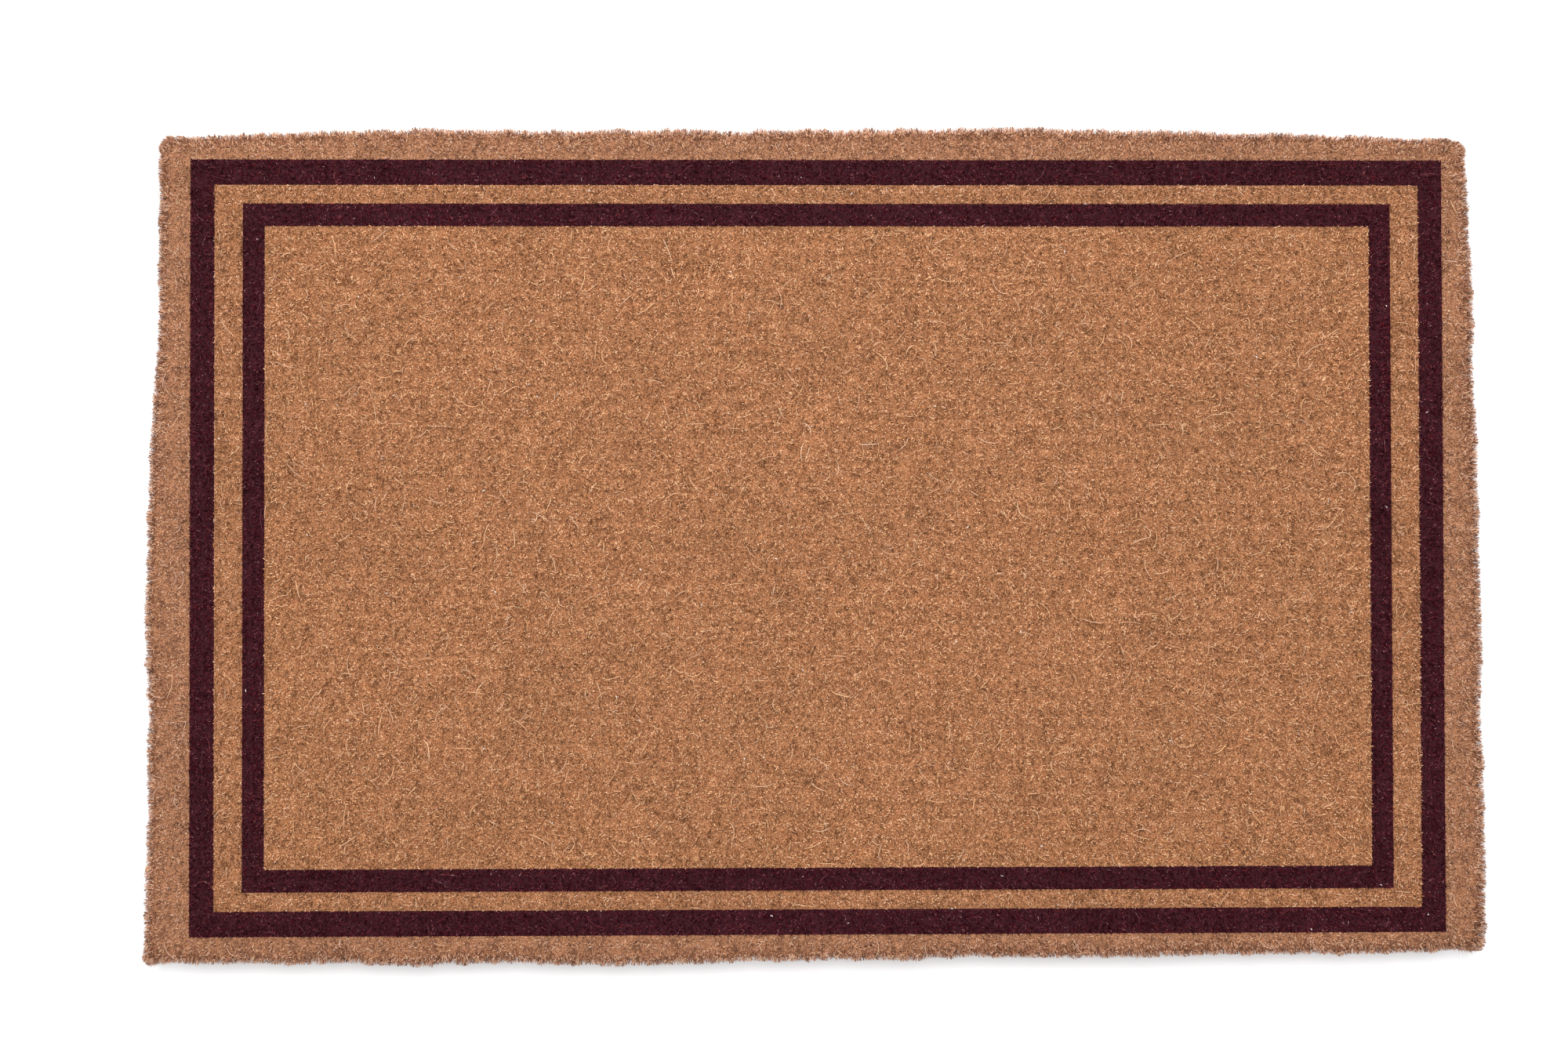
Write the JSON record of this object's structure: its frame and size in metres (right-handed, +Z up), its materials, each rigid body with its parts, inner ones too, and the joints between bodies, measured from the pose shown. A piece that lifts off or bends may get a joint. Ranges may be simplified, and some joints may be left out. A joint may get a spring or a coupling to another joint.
{
  "type": "door mat",
  "caption": "Rectangular hand-woven coir brush mat, sheared tan pile with dark red stripes framing a plain field, for wiping feet at a door.",
  "frame": {"origin": "on the floor, under the middle of the mat's bounding box", "axes": "+X along the long side to the right, +Y from the front edge to the back edge, +Z up through the pile"},
  "size_m": [0.92, 0.574, 0.038],
  "materials": {
    "natural_pile": "undyed coir fibre, sheared, matt",
    "dyed_pile": "coir fibre dyed dark red, sheared, matt",
    "coir_yarn": "two-ply coir yarn, hairy, matt",
    "stuffer_yarn": "coarse coir yarn, hairy, matt",
    "edge_cord": "thick coir cord and plait, hairy, matt",
    "sewing_twine": "pale bast twine, matt"
  },
  "bodies": {
    "root": {"field_pile": "natural_pile", "inner_stripe_front": "dyed_pile", "inner_stripe_back": "dyed_pile", "inner_stripe_left": "dyed_pile", "inner_stripe_right": "dyed_pile", "band_pile_front": "natural_pile", "band_pile_back": "natural_pile", "band_pile_left": "natural_pile", "band_pile_right": "natural_pile", "outer_stripe_front": "dyed_pile", "outer_stripe_back": "dyed_pile", "outer_stripe_left": "dyed_pile", "outer_stripe_right": "dyed_pile", "margin_pile_front": "natural_pile", "margin_pile_back": "natural_pile", "margin_pile_left": "natural_pile", "margin_pile_right": "natural_pile", "chain_warps_upper": "coir_yarn", "chain_warps_lower": "coir_yarn", "stuffer_warps": "stuffer_yarn", "weft_yarn": "coir_yarn", "heading_picks_left": "coir_yarn", "heading_picks_right": "coir_yarn", "selvedge_cord_front": "edge_cord", "selvedge_cord_back": "edge_cord", "end_plait_left": "edge_cord", "end_plait_right": "edge_cord", "edge_stitches_front": "sewing_twine", "edge_stitches_back": "sewing_twine", "edge_stitches_left": "sewing_twine", "edge_stitches_right": "sewing_twine"}
  },
  "joints": []
}
